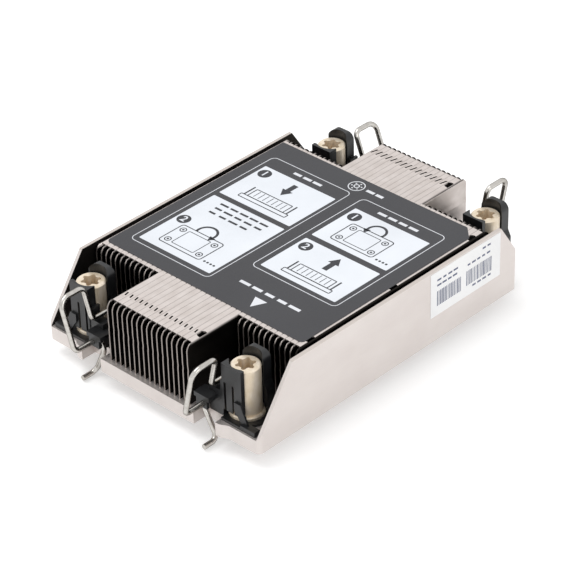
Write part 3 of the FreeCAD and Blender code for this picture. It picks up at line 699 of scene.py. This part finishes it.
def drawn_sink_side(ink, x, y, width):
    """Small side view of a finned block on its base, with a screw at each end."""
    height = 0.32 * width
    base_top = y + 0.28 * height
    stack_left = x + 0.12 * width
    stack_right = x + 0.88 * width
    ink.frame(x, y, x + width, base_top, SIDE_RADIUS, PEN)
    ink.frame(stack_left, base_top, stack_right, y + height, SIDE_RADIUS, PEN)
    fin_low = y + 0.42 * height
    fin_high = y + 0.9 * height
    spaces = 8
    for k in range(1, spaces):
        fin_x = stack_left + (stack_right - stack_left) * k / spaces
        ink.shape(stroke(fin_x, fin_low, fin_x, fin_high, FIN_PEN))
    screw_low = y + 0.35 * height
    screw_high = y + 1.05 * height
    for screw_x in (x + 0.05 * width, x + 0.95 * width):
        ink.shape(stroke(screw_x, screw_low, screw_x, screw_high, SCREW_PEN))


def drawn_sink_plan(ink, x, y, width):
    """Small plan view of the block with its four corner nuts."""
    height = 0.62 * width
    stack_left = x + 0.24 * width
    stack_right = x + 0.76 * width
    stack_front = y + 0.14 * height
    stack_back = y + 0.86 * height
    ink.frame(x, y, x + width, y + height, PLAN_RADIUS, PEN)
    ink.frame(stack_left, stack_front, stack_right, stack_back, STACK_RADIUS, STACK_PEN)
    for nut_x in (x + 0.12 * width, x + 0.88 * width):
        for nut_y in (y + 0.2 * height, y + 0.8 * height):
            ink.circle(nut_x, nut_y, DRAWN_NUT, DRAWN_NUT_PEN)
            ink.shape(disc(nut_x, nut_y, DRAWN_HOLE))


def turn_arrow(ink, x, y, radius, from_deg, to_deg):
    """Curved arrow with a solid head."""
    ink.shape(sweep(x, y, radius, from_deg, to_deg, TURN_PEN))
    turn = 1 if to_deg > from_deg else -1
    angle = math.radians(to_deg)
    tip_way = Vector((-math.sin(angle), math.cos(angle))) * turn
    at = Vector((x + radius * math.cos(angle), y + radius * math.sin(angle)))
    half = Vector((-tip_way.y, tip_way.x)) * TURN_HEAD_HALF
    head = [at - half, at + tip_way * TURN_HEAD, at + half]
    ink.shape([tuple(point) for point in head])


def label_drawings(ink_material, digit_material):
    """Generic pictures of fitting a block: down, turn, turn back, up."""
    place = label_place()
    ink = Print(0.0, 2 * INK_THICK)
    for _, x, y in DISCS:
        ink.shape(disc(x, y, DISC_RADIUS))
    for x, y, width in SIDE_VIEWS:
        drawn_sink_side(ink, x, y, width)
    for x, y, width in PLAN_VIEWS:
        drawn_sink_plan(ink, x, y, width)
    for x, y, length in PUSHES:
        ink.shape(arrow(x, y, 0.0, length, PUSH_SHAFT, PUSH_HEAD))
    for x, y, radius, from_deg, to_deg in TURNS:
        turn_arrow(ink, x, y, radius, from_deg, to_deg)
    for x, y in DOT_ROWS:
        for k in range(4):      # one dot for each nut
            ink.shape(disc(x + DOT_STEP * k, y, DOT_RADIUS))
    ink.build("label_drawings", ink_material, place)

    for count, (text, x, y) in enumerate(DISCS, start=1):
        digit(f"label_digit_{count}", text, x, y, place, digit_material)


def label_words(tree, ink_material, light_material):
    """Rows of plain bars where the film has words."""
    place = label_place()
    bar_rows(tree, WORD_ROWS, ink_material, place, INK_THICK)
    bar_rows(tree, HEADINGS, light_material, place, 0.0)


# ---------------------------------------------------------------- the first fin
def first_fin_without_flange(material):
    """The first fin ends at its web, so nothing lies over the gap beside it."""
    name = "fin_01"
    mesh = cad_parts[name].data.copy()
    cut_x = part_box(name)[1][0] - BEAD - SHEET
    work = bmesh.new()
    work.from_mesh(mesh)
    bmesh.ops.remove_doubles(work, verts=work.verts, dist=WELD)
    parts = work.verts[:] + work.edges[:] + work.faces[:]
    cut = bmesh.ops.bisect_plane(work, geom=parts, plane_co=(cut_x, 0, 0), plane_no=(1, 0, 0),
                                 clear_inner=True)
    edges = [part for part in cut["geom_cut"] if isinstance(part, bmesh.types.BMEdge)]
    bmesh.ops.holes_fill(work, edges=edges)
    bmesh.ops.recalc_face_normals(work, faces=work.faces)
    work.to_mesh(mesh)
    work.free()
    piece = dress_piece("first_fin_web", mesh, material)
    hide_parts(name)


# ------------------------------------------------------------- the side sticker
def sticker_print(tree, ink_material):
    """Rows of short bars and two fields of upright bars on the white paper."""
    low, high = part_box("side_sticker")
    # local X runs along +Y of the frame and local Y up, with the print facing +X
    turn = Matrix(((0, 0, 1, 0), (1, 0, 0, 0), (0, 1, 0, 0), (0, 0, 0, 1)))
    place = Matrix.Translation((high[0], low[1], low[2])) @ turn @ Matrix.Scale(MM, 4)
    bar_rows(tree, STICKER_ROWS, ink_material, place, 0.0)


# ------------------------------------------------------------ floor, light, view
def seen_or_mirrored(tree):
    """Output that is 1 for what the view, a reflection or clear material shows."""
    path = add(tree, "ShaderNodeLightPath")
    direct = add(tree, "ShaderNodeMath", {"operation": "MAXIMUM"},
                 {0: path.outputs["Is Camera Ray"], 1: path.outputs["Is Glossy Ray"]})
    seen = add(tree, "ShaderNodeMath", {"operation": "MAXIMUM"},
               {0: direct.outputs[0], 1: path.outputs["Is Transmission Ray"]})
    return seen.outputs[0]


def floor_material():
    """Pale matt floor that shows near white and still takes the object's shadow."""
    material = bpy.data.materials.new("pale_floor")
    material.use_nodes = True
    tree = material.node_tree
    tree.nodes.clear()
    diffuse = add(tree, "ShaderNodeBsdfDiffuse", None,
                  {"Color": (FLOOR_ALBEDO, FLOOR_ALBEDO, FLOOR_ALBEDO, 1.0)})
    lift = add(tree, "ShaderNodeMath", {"operation": "MULTIPLY"},
               {0: seen_or_mirrored(tree), 1: FLOOR_LIFT})
    glow = add(tree, "ShaderNodeEmission", None,
               {"Color": (1.0, 1.0, 1.0, 1.0), "Strength": lift.outputs[0]})
    both = add(tree, "ShaderNodeAddShader", None, {0: diffuse.outputs[0], 1: glow.outputs[0]})
    add(tree, "ShaderNodeOutputMaterial", None, {"Surface": both.outputs[0]})
    return material


def make_floor():
    """Square floor just under the object's lowest point."""
    corners = [(x * FLOOR_HALF, y * FLOOR_HALF, 0) for x, y in ((-1, -1), (1, -1), (1, 1), (-1, 1))]
    mesh = bpy.data.meshes.new("floor")
    mesh.from_pydata(corners, [], [(0, 1, 2, 3)])
    mesh.materials.append(floor_material())
    floor = bpy.data.objects.new("floor", mesh)
    floor.location.z = cad_box[0][2] - FLOOR_DROP
    bpy.context.scene.collection.objects.link(floor)


def make_sky():
    """White to the camera and in reflections, a plain soft level on surfaces."""
    world = bpy.data.worlds.new("soft_room")
    world.use_nodes = True
    tree = world.node_tree
    tree.nodes.clear()
    level = add(tree, "ShaderNodeMapRange", None,
                {"Value": seen_or_mirrored(tree), "To Min": SKY_LEVEL, "To Max": 1.0})
    sky = add(tree, "ShaderNodeBackground", None,
              {"Color": (1.0, 1.0, 1.0, 1.0), "Strength": level.outputs["Result"]})
    add(tree, "ShaderNodeOutputWorld", None, {"Surface": sky.outputs[0]})
    bpy.context.scene.world = world


def area_lamp(name, place, power, size):
    """Round soft lamp that faces the object."""
    data = bpy.data.lights.new(name, "AREA")
    data.shape = "DISK"
    data.size = size
    data.energy = power
    lamp = bpy.data.objects.new(name, data)
    lamp.location = place
    lamp.rotation_euler = (AIM - Vector(place)).to_track_quat("-Z", "Y").to_euler()
    bpy.context.scene.collection.objects.link(lamp)


def make_camera():
    """Camera on the view's axis, rolled and set aside as the constants say."""
    azimuth = math.radians(VIEW_AZIMUTH)
    elevation = math.radians(VIEW_ELEVATION)
    roll = math.radians(VIEW_ROLL)
    back = Vector((math.sin(azimuth) * math.cos(elevation),
                   -math.cos(azimuth) * math.cos(elevation), math.sin(elevation)))
    level_right = (-back).cross(Vector((0, 0, 1))).normalized()
    level_up = level_right.cross(-back)
    right = level_right * math.cos(roll) + level_up * math.sin(roll)
    up = level_up * math.cos(roll) - level_right * math.sin(roll)
    data = bpy.data.cameras.new("camera")
    data.lens = LENS
    data.sensor_width = SENSOR_WIDTH
    data.clip_end = CLIP_END
    camera = bpy.data.objects.new("camera", data)
    place = AIM + back * VIEW_DISTANCE + right * VIEW_ACROSS + up * VIEW_UP
    turn = Matrix((right, up, back)).transposed().to_4x4()
    camera.matrix_world = Matrix.Translation(place) @ turn
    bpy.context.scene.collection.objects.link(camera)
    bpy.context.scene.camera = camera


# --------------------------------------------------------------------- assemble
def dress_nodes(finishes):
    """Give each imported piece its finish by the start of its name."""
    for name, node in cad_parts.items():
        for start, material in finishes.items():
            if name.startswith(start):
                for slot in node.material_slots:
                    slot.material = material


film = printed_film("grey_polyester_film", FILM_GREY, rough=0.50, texture_mm=0.35, gloss=0.25)
white_print = printed_film("white_print", PANEL_WHITE, rough=0.55, texture_mm=0.35, gloss=0.25)
pale_print = printed_film("pale_line_print", LINE_WHITE, rough=0.55, texture_mm=0.35, gloss=0.25)
dark_print = printed_film("dark_print", INK, rough=0.55, texture_mm=0.35, gloss=0.25)
paper = printed_film("coated_white_paper", PAPER_WHITE, rough=0.45, texture_mm=0.25, gloss=0.5)
paper_print = printed_film("blue_grey_print", PAPER_INK, rough=0.60, texture_mm=0.25, gloss=0.25)
fin_nickel = nickel_on_fin()
dress_nodes({
    "channel_base": nickel_on_rolled_sheet(),
    "contact_plate": nickel_ground_flat(),
    "heat_pipe": nickel_on_pipe(),
    "fin_": fin_nickel,
    "nut_": tan_plated_steel(),
    "retainer_": moulded_charcoal_nylon(),
    "wire_": bright_spring_wire(),
    "top_label": film,
    "side_sticker": paper,
})
first_fin_without_flange(fin_nickel)
bars = bar_tree()
film_sheet(film)
label_fields(white_print, pale_print)
label_drawings(dark_print, white_print)
label_words(bars, dark_print, pale_print)
sticker_print(bars, paper_print)

make_floor()
make_sky()
area_lamp("key", KEY_PLACE, KEY_POWER, KEY_SIZE)
area_lamp("fill", FILL_PLACE, FILL_POWER, FILL_SIZE)
make_camera()
bpy.context.scene.view_settings.view_transform = "Standard"
